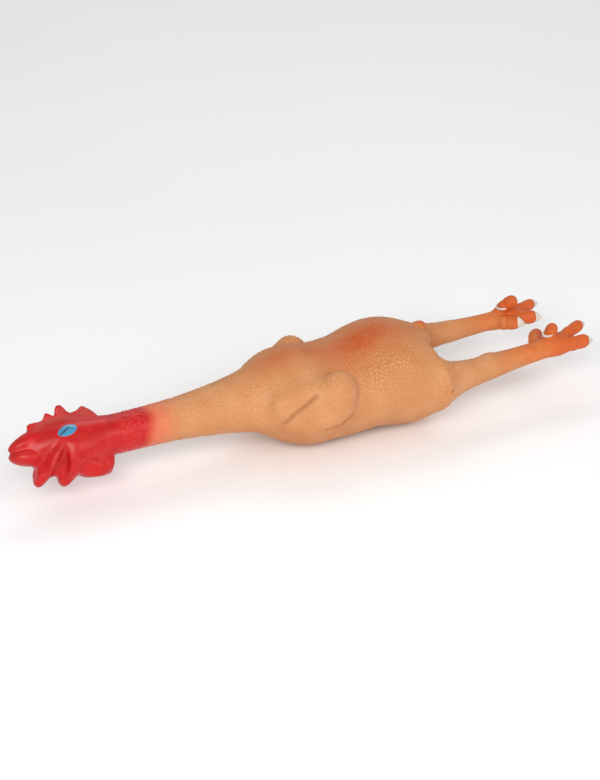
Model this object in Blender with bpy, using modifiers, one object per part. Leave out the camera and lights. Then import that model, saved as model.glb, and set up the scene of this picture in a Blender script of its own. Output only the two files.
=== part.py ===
"""A squeaky rubber chicken: one hollow latex casting that bends at its neck and legs, and a squeaker in its belly.

Metres, +Z up. The bird lies on its belly with its beak towards -X, its feet towards +X and its left side
towards -Y. The origin is on the floor under the middle of the bounding box.
"""

import math

import bmesh
import bpy
from mathutils import Matrix, Vector

GAP = 0.0003
WALL = 0.0020
FLEX_WALL = 0.0013
RING_POINTS = 20
LIMB_POINTS = 12
TOE_POINTS = 8

BEAK_X = -0.229
NECK_Z = 0.0406
LEG_Z = 0.0382
HIP_Y = 0.035
HEAD_TILT = math.radians(-30)

# Torso stations: x, half width, half height, height of the centre.
TORSO = (
    (-0.0460, 0.0250, 0.0235, 0.0405),
    (-0.0350, 0.0325, 0.0290, 0.0395),
    (-0.0230, 0.0380, 0.0335, 0.0380),
    (-0.0100, 0.0410, 0.0362, 0.0362),
    (0.0080, 0.0420, 0.0350, 0.0350),
    (0.0280, 0.0430, 0.0354, 0.0354),
    (0.0450, 0.0460, 0.0375, 0.0368),
    (0.0600, 0.0490, 0.0382, 0.0374),
    (0.0740, 0.0505, 0.0365, 0.0368),
    (0.0860, 0.0500, 0.0320, 0.0368),
    (0.0935, 0.0480, 0.0286, 0.0374),
    (0.0980, 0.0455, 0.0255, 0.0378),
)
TORSO_RINGS = 17

# Neck stations: x, radius.
NECK = ((-0.156, 0.0140), (-0.125, 0.0143), (-0.105, 0.0151), (-0.085, 0.0170), (-0.065, 0.0197), (-0.0463, 0.0250))
HEAD_CUT, HEAD_FLEX_END = -0.150, -0.131
NECK_MID_START, NECK_MID_END = -0.108, -0.086
NECK_ROOT_START = -0.066
# A flared rim leans, so its neighbour stands further off.
ROOT_GAP, RIM_GAP = 0.0022, 0.0007
HEAD_PIVOT = Vector((-0.1405, 0, NECK_Z))
NECK_MID_PIVOT = Vector((-0.097, 0, NECK_Z))
NECK_ROOT_PIVOT = Vector((-0.056, 0, NECK_Z))

# Leg stations: x, radius, distance from the middle plane.
LEG = (
    (0.0983, 0.0128, 0.0350),
    (0.1150, 0.0106, 0.0345),
    (0.1300, 0.0096, 0.0335),
    (0.1500, 0.0083, 0.0325),
    (0.1700, 0.0077, 0.0320),
    (0.1900, 0.0078, 0.0320),
)
# The left leg is a little thicker and curls up towards its foot; the right one lies almost straight.
LEG_GIRTH = {-1: 1.0, 1: 0.92}
CURL_START, CURL_END = 0.105, 0.220
CURL_LIFT = {-1: 0.0062, 1: 0.0002}
HIP_END = 0.116
KNEE_START, KNEE_END = 0.134, 0.149
ANKLE_START, ANKLE_END = 0.163, 0.176
SHIN_END = 0.190
HIP_X, KNEE_X, ANKLE_X = 0.1075, 0.1415, 0.1695

# Head sections, upright: distance behind the beak tip, half width, lowest and highest height over the neck's axis.
HEAD = (
    (0.0000, 0.0020, 0.0024, 0.0078),
    (0.0040, 0.0048, -0.0034, 0.0104),
    (0.0100, 0.0080, -0.0066, 0.0126),
    (0.0180, 0.0112, -0.0092, 0.0150),
    (0.0290, 0.0142, -0.0118, 0.0176),
    (0.0410, 0.0164, -0.0138, 0.0182),
    (0.0530, 0.0168, -0.0144, 0.0172),
    (0.0650, 0.0155, -0.0142, 0.0155),
    (0.0735, 0.0145, -0.0140, 0.0145),
    (0.0797, 0.0140, -0.0140, 0.0140),
)
HEAD_RINGS = 13
# Comb and wattle outlines: distance behind the beak tip, height over the neck's axis.
COMB = (
    (0.0160, 0.0080), (0.0160, 0.0172), (0.0176, 0.0202), (0.0276, 0.0200), (0.0304, 0.0252), (0.0334, 0.0246),
    (0.0374, 0.0216), (0.0396, 0.0284), (0.0434, 0.0290), (0.0482, 0.0214), (0.0548, 0.0222), (0.0585, 0.0246),
    (0.0630, 0.0212), (0.0668, 0.0154), (0.0656, 0.0080),
)
WATTLE_FRONT = (
    (0.0180, -0.0050), (0.0172, -0.0100), (0.0144, -0.0190), (0.0154, -0.0224), (0.0174, -0.0220),
    (0.0250, -0.0184), (0.0322, -0.0180), (0.0322, -0.0050),
)
WATTLE_REAR = (
    (0.0328, -0.0050), (0.0330, -0.0232), (0.0340, -0.0260), (0.0362, -0.0252), (0.0420, -0.0222),
    (0.0470, -0.0214), (0.0470, -0.0050),
)
EAR_LOBE = (
    (0.0476, -0.0050), (0.0476, -0.0216), (0.0540, -0.0244), (0.0600, -0.0262), (0.0668, -0.0254),
    (0.0704, -0.0216), (0.0706, -0.0150), (0.0690, -0.0050),
)
COMB_HALF_THICK = 0.0035
WATTLE_HALF_THICK = 0.0062
EYE_BEHIND_BEAK, EYE_HEIGHT = 0.0402, 0.0104
EYE_RADII = (0.0080, 0.0024, 0.0038)
EYE_SLANT = math.radians(11)

WING_CENTRE = Vector((-0.0055, 0.0368, 0.0442))
WING_RADII = (0.0240, 0.0118, 0.0188)
WING_SLANT = math.radians(14)
TAIL_CENTRE = Vector((0.0942, 0.0040, 0.0638))
TAIL_RADII = (0.0068, 0.0060, 0.0062)

# The stretch of back that is pressed to make the squeak.
PRESS_CENTRE = Vector((0.0440, 0, 0.0))
PRESS_RADII = (0.0420, 0.0300)
PRESS_FLOOR = 0.0470
PRESS_GAP = 0.0004

SQUEAKER = Vector((0.0580, 0, 0.0))
FLANGE_R, FLANGE_T = 0.0125, 0.0015
CUP_R, CUP_WALL, CUP_H = 0.0090, 0.0014, 0.0120
BOSS_R, BOSS_LOW, BOSS_TOP = 0.0155, 0.0006, 0.0042
VALVE_H = 0.0045
SLOT_SIZE = (0.0070, 0.0026)
REED_SIZE = (0.0100, 0.0036, 0.0004)
CLIP_SIZE = (0.0026, 0.0050, 0.0010)

# Foot, in the leg's own frame: x, distance outwards from the leg's axis, height over the leg's axis.
PALM_CENTRE = Vector((0.1945, -0.0010, -0.0005))
PALM_RADII = (0.0120, 0.0098, 0.0074)
TOES = {
    -1: {
        "inner": ((0.1825, -0.0095, -0.0002), (0.1835, -0.0150, 0.0020), (0.1878, -0.0190, 0.0014), 0.0046),
        "middle": ((0.2010, -0.0075, 0.0002), (0.2120, -0.0092, 0.0010), (0.2217, -0.0112, 0.0012), 0.0046),
        "outer": ((0.2010, 0.0045, -0.0010), (0.2080, 0.0050, -0.0022), (0.2148, 0.0052, -0.0028), 0.0049),
        "back": ((0.1868, 0.0008, 0.0060), (0.1880, -0.0015, 0.0100), (0.1910, -0.0035, 0.0120), 0.0044),
    },
    1: {
        "inner": ((0.1800, -0.0092, -0.0002), (0.1840, -0.0125, 0.0015), (0.1885, -0.0152, 0.0020), 0.0048),
        "middle": ((0.1990, -0.0080, -0.0002), (0.2030, -0.0095, -0.0004), (0.2068, -0.0112, -0.0008), 0.0048),
        "outer": ((0.1990, 0.0045, 0.0010), (0.2050, 0.0062, 0.0030), (0.2125, 0.0076, 0.0036), 0.0043),
        "back": ((0.1855, 0.0008, 0.0070), (0.1872, -0.0018, 0.0115), (0.1905, -0.0040, 0.0140), 0.0046),
    },
}
CLAW_LENGTH, CLAW_R = 0.0068, 0.0034
SIDES = {"left": -1, "right": 1}


def start_collection(name, visible=True):
    made = bpy.data.collections.new(name)
    bpy.context.scene.collection.children.link(made)
    made.hide_render = not visible
    return made


def finish(name, colour, roughness, metallic=0.0):
    """A Principled material, with its colour in linear light."""
    made = bpy.data.materials.new(name)
    made.use_nodes = True
    shader = made.node_tree.nodes["Principled BSDF"]
    shader.inputs["Base Color"].default_value = (*colour, 1)
    shader.inputs["Roughness"].default_value = roughness
    shader.inputs["Metallic"].default_value = metallic
    return made


for old in list(bpy.data.objects):
    bpy.data.objects.remove(old)
BIRD = start_collection("rubber_chicken")
CUTTERS = start_collection("cutters", visible=False)
TAN = finish("tan_latex", (0.70, 0.31, 0.13), 0.50)
RED = finish("red_latex", (0.62, 0.03, 0.03), 0.22)
ORANGE = finish("orange_latex", (0.72, 0.14, 0.03), 0.42)
CLAW_WHITE = finish("white_paint", (0.85, 0.76, 0.66), 0.35)
EYE_BLUE = finish("blue_paint", (0.13, 0.36, 0.55), 0.25)
PLASTIC = finish("squeaker_plastic", (0.80, 0.80, 0.77), 0.35)
REED_FILM = finish("reed_film", (0.62, 0.50, 0.20), 0.30, 0.8)


def add_mesh(name, material, points, faces):
    mesh = bpy.data.meshes.new(name)
    mesh.from_pydata(points, [], faces)
    work = bmesh.new()
    work.from_mesh(mesh)
    bmesh.ops.remove_doubles(work, verts=work.verts, dist=1e-6)
    bmesh.ops.recalc_face_normals(work, faces=work.faces)
    work.to_mesh(mesh)
    work.free()
    return add_object(name, material, mesh)


def add_object(name, material, mesh):
    """The mesh as a piece of the bird, or as a cutter where it has no material."""
    made = bpy.data.objects.new(name, mesh)
    if material is None:
        made.hide_render = True
        made.display_type = "WIRE"
        CUTTERS.objects.link(made)
        return made
    mesh.materials.append(material)
    mesh.shade_smooth()
    mesh.set_sharp_from_angle(angle=math.radians(50))
    BIRD.objects.link(made)
    return made


def settle(piece, pivot, tilt=0.0):
    """Moves the piece's origin to the axis that it turns on, then tilts it about X there."""
    piece.data.transform(Matrix.Translation(-pivot))
    piece.location = pivot
    piece.rotation_euler.x = tilt
    return piece


def cut(piece, cutter, operation="DIFFERENCE"):
    modifier = piece.modifiers.new(cutter.name, "BOOLEAN")
    modifier.object = cutter
    modifier.operation = operation
    modifier.solver = "EXACT"


def hollow(piece, wall=WALL):
    modifier = piece.modifiers.new("wall", "SOLIDIFY")
    modifier.thickness = wall
    modifier.offset = -1
    modifier.use_even_offset = True


def between(stations, x):
    """The stations' values at x, on a smooth curve through them."""
    x = min(max(x, stations[0][0]), stations[-1][0])
    i = max(k for k in range(len(stations) - 1) if stations[k][0] <= x)
    a, b = stations[i], stations[i + 1]
    before, after = stations[max(i - 1, 0)], stations[min(i + 2, len(stations) - 1)]
    span = b[0] - a[0]
    t = (x - a[0]) / span
    values = []
    for k in range(1, len(a)):
        leave = (b[k] - before[k]) / (b[0] - before[0]) * span
        arrive = (after[k] - a[k]) / (after[0] - a[0]) * span
        values.append(
            a[k] * (2 * t**3 - 3 * t**2 + 1)
            + b[k] * (3 * t**2 - 2 * t**3)
            + leave * (t**3 - 2 * t**2 + t)
            + arrive * (t**3 - t**2)
        )
    return values


def ellipse(x, y, z, half_y, half_z, count):
    angles = (2 * math.pi * k / count for k in range(count))
    return [Vector((x, y + half_y * math.cos(a), z + half_z * math.sin(a))) for a in angles]


def loft(name, material, rings, caps=(True, True)):
    """A skin through rings of the same number of points."""
    count = len(rings[0])
    faces = [
        (r * count + k, r * count + (k + 1) % count, (r + 1) * count + (k + 1) % count, (r + 1) * count + k)
        for r in range(len(rings) - 1)
        for k in range(count)
    ]
    last = (len(rings) - 1) * count
    if caps[0]:
        faces.append(tuple(range(count)))
    if caps[1]:
        faces.append(tuple(last + k for k in range(count)))
    made = add_mesh(name, material, [p for ring in rings for p in ring], faces)
    if not all(caps):
        outward(made)
    return made


def outward(piece):
    """Turns an open tube's faces away from its own axis."""
    mesh = piece.data
    middle = sum((v.co for v in mesh.vertices), Vector()) / len(mesh.vertices)
    side = sum(f.normal.yz.dot(f.center.yz - middle.yz) for f in mesh.polygons)
    if side < 0:
        mesh.flip_normals()


def ball(name, material, centre, radii, segments=20, rings=11):
    work = bmesh.new()
    bmesh.ops.create_uvsphere(work, u_segments=segments, v_segments=rings, radius=1)
    bmesh.ops.transform(work, matrix=Matrix.Diagonal((*radii, 1)), verts=work.verts)
    bmesh.ops.translate(work, vec=centre, verts=work.verts)
    mesh = bpy.data.meshes.new(name)
    work.to_mesh(mesh)
    work.free()
    return add_object(name, material, mesh)


def cylinder(name, material, low, radii, height, segments=24):
    """An upright cylinder, or an oval one, on the point low."""
    work = bmesh.new()
    bmesh.ops.create_cone(work, cap_ends=True, segments=segments, radius1=1, radius2=1, depth=1)
    bmesh.ops.transform(work, matrix=Matrix.Diagonal((radii[0], radii[1], height, 1)), verts=work.verts)
    bmesh.ops.translate(work, vec=Vector(low) + Vector((0, 0, height / 2)), verts=work.verts)
    mesh = bpy.data.meshes.new(name)
    work.to_mesh(mesh)
    work.free()
    return add_object(name, material, mesh)


def box(name, material, centre, size):
    work = bmesh.new()
    bmesh.ops.create_cube(work, size=1)
    bmesh.ops.transform(work, matrix=Matrix.Diagonal((*size, 1)), verts=work.verts)
    bmesh.ops.translate(work, vec=centre, verts=work.verts)
    mesh = bpy.data.meshes.new(name)
    work.to_mesh(mesh)
    work.free()
    return add_object(name, material, mesh)


def torso_ring(x, grow=0.0):
    """A torso section, flat where the belly's weight presses it on the floor."""
    half_y, half_z, z = between(TORSO, x)
    ring = ellipse(x, 0, z, half_y + grow, half_z + grow, RING_POINTS)
    return [Vector((p.x, p.y, max(p.z, -grow))) for p in ring]


def torso_xs():
    first, last = TORSO[0][0], TORSO[-1][0]
    return [first + (last - first) * k / (TORSO_RINGS - 1) for k in range(TORSO_RINGS)]


def make_torso():
    clearance = loft("torso_clearance", None, [torso_ring(x, GAP) for x in torso_xs()])
    press_hole = oval("press_hole", PRESS_GAP)
    press_core = oval("press_core", 0)
    skin = loft("torso_skin", TAN, [torso_ring(x) for x in torso_xs()], caps=(False, True))
    hollow(skin)
    cut(skin, press_hole)
    boss = cylinder("squeaker_boss", None, SQUEAKER + Vector((0, 0, BOSS_LOW)), (BOSS_R, BOSS_R), BOSS_TOP - BOSS_LOW)
    cut(skin, boss, "UNION")
    port = cylinder("squeaker_port", None, SQUEAKER - Vector((0, 0, 0.01)), (CUP_R + GAP,) * 2, 0.03)
    seat_depth = 0.01 + FLANGE_T + GAP
    seat = cylinder("flange_seat", None, SQUEAKER - Vector((0, 0, 0.01)), (FLANGE_R + GAP,) * 2, seat_depth)
    cut(skin, port)
    cut(skin, seat)
    for side, sign in SIDES.items():
        passage = loft(
            f"hip_passage_{side}",
            None,
            [ellipse(x, sign * HIP_Y, LEG_Z, 0.0105, 0.0105, LIMB_POINTS) for x in (0.086, 0.108)],
        )
        cut(skin, passage)
    press = loft("back_wall", TAN, [torso_ring(x) for x in torso_xs()], caps=(False, True))
    hollow(press)
    cut(press, press_core, "INTERSECT")
    tail = ball("tail_nub", TAN, TAIL_CENTRE, TAIL_RADII)
    cut(tail, clearance)
    for side, sign in SIDES.items():
        centre = Vector((WING_CENTRE.x, sign * WING_CENTRE.y, WING_CENTRE.z))
        wing = ball(f"wing_{side}", TAN, Vector(), WING_RADII)
        wing.data.transform(Matrix.Translation(centre) @ Matrix.Rotation(WING_SLANT, 4, "Y"))
        cut(wing, clearance)


def oval(name, grow):
    low = (PRESS_CENTRE.x, PRESS_CENTRE.y, PRESS_FLOOR - grow)
    return cylinder(name, None, low, (PRESS_RADII[0] + grow, PRESS_RADII[1] + grow), 0.06, segments=32)


def turned(name, material, centre, profile, steps=24):
    """A turned piece from its profile of (radius, height), down its outer side."""
    points = [Vector((r, 0, h)) for r, h in profile]
    mesh = bpy.data.meshes.new(name)
    mesh.from_pydata(points, [(k, (k + 1) % len(points)) for k in range(len(points))], [])
    made = add_object(name, material, mesh)
    made.location = centre
    screw = made.modifiers.new("turn", "SCREW")
    screw.steps = steps
    screw.render_steps = steps
    screw.use_merge_vertices = True
    screw.merge_threshold = 1e-6
    return made


def make_squeaker():
    inner = CUP_R - CUP_WALL
    turned(
        "squeaker_cup",
        PLASTIC,
        SQUEAKER,
        ((inner, CUP_H), (CUP_R, CUP_H), (CUP_R, FLANGE_T), (FLANGE_R, FLANGE_T), (FLANGE_R, 0), (inner, 0)),
    )
    valve_top = SQUEAKER.z + CUP_H
    valve_low = (SQUEAKER.x, 0, valve_top - VALVE_H)
    valve = cylinder("squeaker_valve", PLASTIC, valve_low, (inner - GAP,) * 2, VALVE_H)
    slot = box("valve_slot", None, Vector((SQUEAKER.x, 0, valve_top - VALVE_H / 2)), (*SLOT_SIZE, 2 * VALVE_H))
    cut(valve, slot)
    reed_z = valve_top + GAP
    reed = box("squeaker_reed", REED_FILM, Vector((SQUEAKER.x, 0, reed_z + REED_SIZE[2] / 2)), REED_SIZE)
    root = Vector((SQUEAKER.x - REED_SIZE[0] / 2, 0, reed_z + REED_SIZE[2] / 2))
    settle(reed, root)
    clip_z = reed_z + REED_SIZE[2] + GAP + CLIP_SIZE[2] / 2
    clip_x = root.x + CLIP_SIZE[0] / 2 - 0.0005
    box("reed_clip", PLASTIC, Vector((clip_x, 0, clip_z)), CLIP_SIZE)


def neck_tube(name, start, end, material, wall, pivot, rings=3):
    xs = [start + (end - start) * k / (rings - 1) for k in range(rings)]
    tube = loft(name, material, [neck_ring(x) for x in xs], caps=(False, False))
    hollow(tube, wall)
    settle(tube, pivot)


def neck_ring(x):
    (radius,) = between(NECK, x)
    return ellipse(x, 0, NECK_Z, radius, radius, RING_POINTS)


def make_neck():
    neck_tube("neck_root_flex", NECK_ROOT_START + RIM_GAP, TORSO[0][0] - ROOT_GAP, TAN, FLEX_WALL, NECK_ROOT_PIVOT)
    neck_tube("neck_lower", NECK_MID_END, NECK_ROOT_START, TAN, WALL, NECK_ROOT_PIVOT)
    neck_tube("neck_mid_flex", NECK_MID_START + RIM_GAP, NECK_MID_END - RIM_GAP, TAN, FLEX_WALL, NECK_MID_PIVOT)
    neck_tube("neck_upper", HEAD_FLEX_END, NECK_MID_START, RED, WALL, NECK_MID_PIVOT)
    neck_tube("head_flex", HEAD_CUT + RIM_GAP, HEAD_FLEX_END - RIM_GAP, RED, FLEX_WALL, HEAD_PIVOT)


def head_ring(behind, grow=0.0):
    half_y, low, high = between(HEAD, behind)
    middle, half_z = (low + high) / 2, (high - low) / 2
    return ellipse(BEAK_X + behind, 0, NECK_Z + middle, half_y + grow, half_z + grow, RING_POINTS)


def head_loft(name, material, first, last, grow):
    steps = [first + (last - first) * k / (HEAD_RINGS - 1) for k in range(HEAD_RINGS)]
    return settle(loft(name, material, [head_ring(x, grow) for x in steps]), HEAD_PIVOT, HEAD_TILT)


def plate(name, material, outline, half_thick, round_edge):
    """A flat outline in the head's middle plane, thickened and rounded."""
    curve = bpy.data.curves.new(name, "CURVE")
    curve.dimensions = "2D"
    curve.fill_mode = "BOTH"
    curve.extrude = half_thick - round_edge
    curve.bevel_depth = round_edge
    curve.bevel_resolution = 1
    curve.offset = -round_edge
    spline = curve.splines.new("POLY")
    spline.points.add(len(outline) - 1)
    for point, (behind, height) in zip(spline.points, outline):
        point.co = (BEAK_X + behind, height, 0, 1)
    spline.use_cyclic_u = True
    guide = bpy.data.objects.new(name + "_guide", curve)
    bpy.context.scene.collection.objects.link(guide)
    bpy.context.view_layer.update()
    graph = bpy.context.evaluated_depsgraph_get()
    mesh = bpy.data.meshes.new_from_object(guide.evaluated_get(graph))
    bpy.data.objects.remove(guide)
    work = bmesh.new()
    work.from_mesh(mesh)
    bmesh.ops.remove_doubles(work, verts=work.verts, dist=1e-6)
    bmesh.ops.transform(work, matrix=Matrix.Rotation(math.pi / 2, 4, "X"), verts=work.verts)
    bmesh.ops.translate(work, vec=(0, 0, NECK_Z), verts=work.verts)
    bmesh.ops.recalc_face_normals(work, faces=work.faces)
    work.to_mesh(mesh)
    work.free()
    mesh.materials.clear()
    return settle(add_object(name, material, mesh), HEAD_PIVOT, HEAD_TILT)


def make_head():
    head_end = HEAD_CUT - BEAK_X
    skull = head_loft("head_skin", RED, 0, head_end, 0)
    cavity = head_loft("head_cavity", None, 0.016, head_end + 0.003, -WALL)
    cut(skull, cavity)
    clearance = head_loft("head_clearance", None, 0, head_end, GAP)
    for name, outline, half_thick in (
        ("comb", COMB, COMB_HALF_THICK),
        ("wattle_front", WATTLE_FRONT, WATTLE_HALF_THICK),
        ("wattle_rear", WATTLE_REAR, WATTLE_HALF_THICK),
        ("ear_lobe", EAR_LOBE, WATTLE_HALF_THICK),
    ):
        cut(plate(name, RED, outline, half_thick, 0.0015), clearance)
    half_y, low, high = between(HEAD, EYE_BEHIND_BEAK)
    lift = (EYE_HEIGHT - (low + high) / 2) / ((high - low) / 2)
    eye_y = half_y * math.sqrt(1 - lift**2)
    for side, sign in SIDES.items():
        eye = ball(f"eye_{side}", EYE_BLUE, Vector(), EYE_RADII, 14, 8)
        centre = Vector((BEAK_X + EYE_BEHIND_BEAK, sign * (eye_y - 0.0006), NECK_Z + EYE_HEIGHT))
        lean = Matrix.Rotation(sign * math.asin(lift) * 0.9, 4, "X") @ Matrix.Rotation(-EYE_SLANT, 4, "Y")
        eye.data.transform(Matrix.Translation(centre) @ lean)
        settle(eye, HEAD_PIVOT, HEAD_TILT)
        cut(eye, clearance)


def leg_tube(name, sign, start, end, material, wall, pivot_x, rings=3):
    xs = [start + (end - start) * k / (rings - 1) for k in range(rings)]
    tube = loft(name, material, [leg_ring(x, sign) for x in xs], caps=(False, False))
    hollow(tube, wall)
    settle(tube, leg_axis(pivot_x, sign))


def leg_axis(x, sign):
    curled = max(x - CURL_START, 0) / (CURL_END - CURL_START)
    return Vector((x, sign * between(LEG, x)[1], LEG_Z + CURL_LIFT[sign] * curled**2))


def leg_ring(x, sign, grow=0.0):
    middle = leg_axis(x, sign)
    radius = between(LEG, x)[0] * LEG_GIRTH[sign] + grow
    return ellipse(x, middle.y, middle.z, radius, radius, LIMB_POINTS)


def foot_point(local, sign):
    middle = leg_axis(local[0], sign)
    return Vector((local[0], middle.y + sign * local[1], middle.z + local[2]))


def toe_rings(points, radius, grow=0.0):
    """Rings along a toe, from a full root to a rounded end."""
    root, bend, tip = (Vector(p) for p in points)
    rings = []
    for t in (0, 0.4, 0.75, 0.9, 1.0):
        centre = root * (1 - t) ** 2 + bend * 2 * t * (1 - t) + tip * t**2
        along = ((bend - root) * (1 - t) + (tip - bend) * t).normalized()
        swell = 1.0 + 0.06 * math.sin(6 * math.pi * t)
        r = (radius * swell if t < 0.8 else radius * math.sqrt(max(1 - ((t - 0.8) / 0.2) ** 2 * 0.62, 0))) + grow
        side = along.cross(Vector((0.3, 0.2, 1.0))).normalized()
        over = side.cross(along)
        angles = (2 * math.pi * k / TOE_POINTS for k in range(TOE_POINTS))
        rings.append([centre + side * (r * math.cos(a)) + over * (r * math.sin(a)) for a in angles])
    return rings


def make_claw(name, tip, along, pivot):
    work = bmesh.new()
    bmesh.ops.create_cone(
        work, cap_ends=True, segments=TOE_POINTS, radius1=CLAW_R, radius2=CLAW_R * 0.18, depth=CLAW_LENGTH
    )
    aim = along.to_track_quat("Z", "Y").to_matrix().to_4x4()
    base = tip + along * (GAP + CLAW_LENGTH / 2)
    bmesh.ops.transform(work, matrix=Matrix.Translation(base) @ aim, verts=work.verts)
    mesh = bpy.data.meshes.new(name)
    work.to_mesh(mesh)
    work.free()
    settle(add_object(name, CLAW_WHITE, mesh), pivot)


def make_foot(side, sign):
    pivot = leg_axis(ANKLE_X, sign)
    shank = loft(
        f"foot_{side}",
        ORANGE,
        [leg_ring(ANKLE_END + (SHIN_END - ANKLE_END) * k / 2, sign) for k in range(3)],
    )
    palm_centre = foot_point(PALM_CENTRE, sign)
    palm = ball(f"palm_{side}", None, palm_centre, PALM_RADII, 16, 9)
    palm_room = [r + 2 * GAP for r in PALM_RADII]
    palm_clearance = ball(f"palm_clearance_{side}", None, palm_centre, palm_room, 16, 9)
    settle(shank, pivot)
    cut(shank, palm, "UNION")
    shin_rings = [leg_ring(x, sign, GAP) for x in (ANKLE_START, SHIN_END + GAP)]
    shin_clearance = loft(f"shin_clearance_{side}", None, shin_rings)
    for toe, (root, bend, tip, radius) in TOES[sign].items():
        points = [foot_point(p, sign) for p in (root, bend, tip)]
        made = loft(f"toe_{toe}_{side}", ORANGE, toe_rings(points, radius))
        settle(made, pivot)
        cut(made, palm_clearance)
        cut(made, shin_clearance)
        if toe != "back":
            along = (points[2] - points[1]).normalized()
            make_claw(f"claw_{toe}_{side}", points[2], along, pivot)


def make_leg(side, sign):
    leg_tube(f"hip_flex_{side}", sign, LEG[0][0], HIP_END - RIM_GAP, TAN, FLEX_WALL, HIP_X)
    leg_tube(f"thigh_{side}", sign, HIP_END, KNEE_START, TAN, WALL, HIP_X)
    leg_tube(f"knee_flex_{side}", sign, KNEE_START + RIM_GAP, KNEE_END - RIM_GAP, TAN, FLEX_WALL, KNEE_X)
    leg_tube(f"shank_{side}", sign, KNEE_END, ANKLE_START, ORANGE, WALL, KNEE_X)
    leg_tube(f"ankle_flex_{side}", sign, ANKLE_START + RIM_GAP, ANKLE_END - RIM_GAP, ORANGE, FLEX_WALL, ANKLE_X)
    make_foot(side, sign)


make_torso()
make_squeaker()
make_neck()
make_head()
for leg_side, leg_sign in SIDES.items():
    make_leg(leg_side, leg_sign)
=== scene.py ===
"""The looks of the rubber chicken: one painted latex skin in pieces that bend with the CAD bodies.

Metres, in the CAD's own frame. The skin is the surface of a few rounded solids joined with fillets,
drawn on a fine lattice, raised by the mould's relief and coloured by masks that the materials read.
"""

import math
import random

import bmesh
import bpy
import numpy as np
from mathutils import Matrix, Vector, kdtree


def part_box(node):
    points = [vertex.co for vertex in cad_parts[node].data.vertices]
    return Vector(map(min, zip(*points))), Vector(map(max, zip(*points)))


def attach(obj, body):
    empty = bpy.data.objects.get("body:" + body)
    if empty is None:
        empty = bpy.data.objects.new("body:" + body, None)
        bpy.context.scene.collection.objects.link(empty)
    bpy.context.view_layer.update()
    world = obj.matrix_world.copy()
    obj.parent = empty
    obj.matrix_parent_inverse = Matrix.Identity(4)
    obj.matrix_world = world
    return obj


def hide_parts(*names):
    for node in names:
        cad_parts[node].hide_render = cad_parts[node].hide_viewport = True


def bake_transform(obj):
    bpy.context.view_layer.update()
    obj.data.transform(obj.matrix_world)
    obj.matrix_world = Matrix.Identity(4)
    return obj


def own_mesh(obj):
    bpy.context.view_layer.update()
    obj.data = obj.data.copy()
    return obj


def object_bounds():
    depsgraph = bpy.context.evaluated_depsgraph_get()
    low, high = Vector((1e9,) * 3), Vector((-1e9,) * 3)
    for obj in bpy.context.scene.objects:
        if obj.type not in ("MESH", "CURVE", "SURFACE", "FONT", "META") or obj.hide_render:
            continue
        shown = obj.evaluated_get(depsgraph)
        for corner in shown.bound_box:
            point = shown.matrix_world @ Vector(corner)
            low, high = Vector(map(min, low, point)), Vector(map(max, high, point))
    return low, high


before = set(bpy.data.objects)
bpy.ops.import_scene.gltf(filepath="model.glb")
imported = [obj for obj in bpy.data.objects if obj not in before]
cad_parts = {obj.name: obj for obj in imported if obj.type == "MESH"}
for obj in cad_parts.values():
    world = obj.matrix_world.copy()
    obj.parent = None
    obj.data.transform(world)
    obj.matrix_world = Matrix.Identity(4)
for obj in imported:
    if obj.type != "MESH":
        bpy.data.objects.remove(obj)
CAD_LOW, CAD_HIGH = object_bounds()


def middle(node):
    low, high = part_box(node)
    return (low + high) / 2


UP = Vector((0, 0, 1))
SIDES = {"left": -1, "right": 1}
BEAK_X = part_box("head_skin")[0].x
NECK_Z = middle("neck_upper").z
HEAD_TILT = math.radians(-30)

# Where the skin is divided: in stretches that are rigid with one body, so that neighbours stay
# together. The head's and the torso's skins run a little way under the next piece.
HEAD_SEAM = middle("neck_upper").x
NECK_SEAM = middle("neck_lower").x
TORSO_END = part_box("torso_skin")[1].x
LEG_SEAM = TORSO_END + 0.006
KNEE_SEAM = middle("thigh_left").x
ANKLE_SEAM = middle("shank_left").x
# The back dome flattens towards this sloping plane when it is pressed: x and height at its two ends.
DOME_FRONT = Vector((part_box("torso_skin")[0].x, 0, 0.0655))
DOME_REAR = Vector((TORSO_END, 0, 0.0560))
OVERLAP = 0.0004

# Trunk stations from the head to the rump: x, half width, half height, height of the centre.
TRUNK = (
    (-0.1560, 0.0140, 0.0140, NECK_Z),
    (-0.1250, 0.0143, 0.0143, NECK_Z),
    (-0.1050, 0.0151, 0.0151, NECK_Z),
    (-0.0850, 0.0170, 0.0170, NECK_Z),
    (-0.0650, 0.0197, 0.0197, NECK_Z),
    (-0.0460, 0.0250, 0.0237, NECK_Z),
    (-0.0350, 0.0325, 0.0290, 0.0395),
    (-0.0230, 0.0380, 0.0335, 0.0380),
    (-0.0100, 0.0410, 0.0362, 0.0362),
    (0.0080, 0.0418, 0.0344, 0.0346),
    (0.0280, 0.0424, 0.0346, 0.0352),
    (0.0450, 0.0448, 0.0362, 0.0380),
    (0.0600, 0.0484, 0.0378, 0.0378),
    (0.0740, 0.0505, 0.0365, 0.0368),
    (0.0860, 0.0500, 0.0320, 0.0368),
    (0.0935, 0.0480, 0.0286, 0.0374),
    (0.0990, 0.0450, 0.0250, 0.0378),
)
RUMP_END = 0.0985
# The slot beside the rump's wedge: its middle's x and distance from the middle plane, and its half sizes.
CROTCH = (0.1070, 0.0222, 0.0180, 0.0138)
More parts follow.
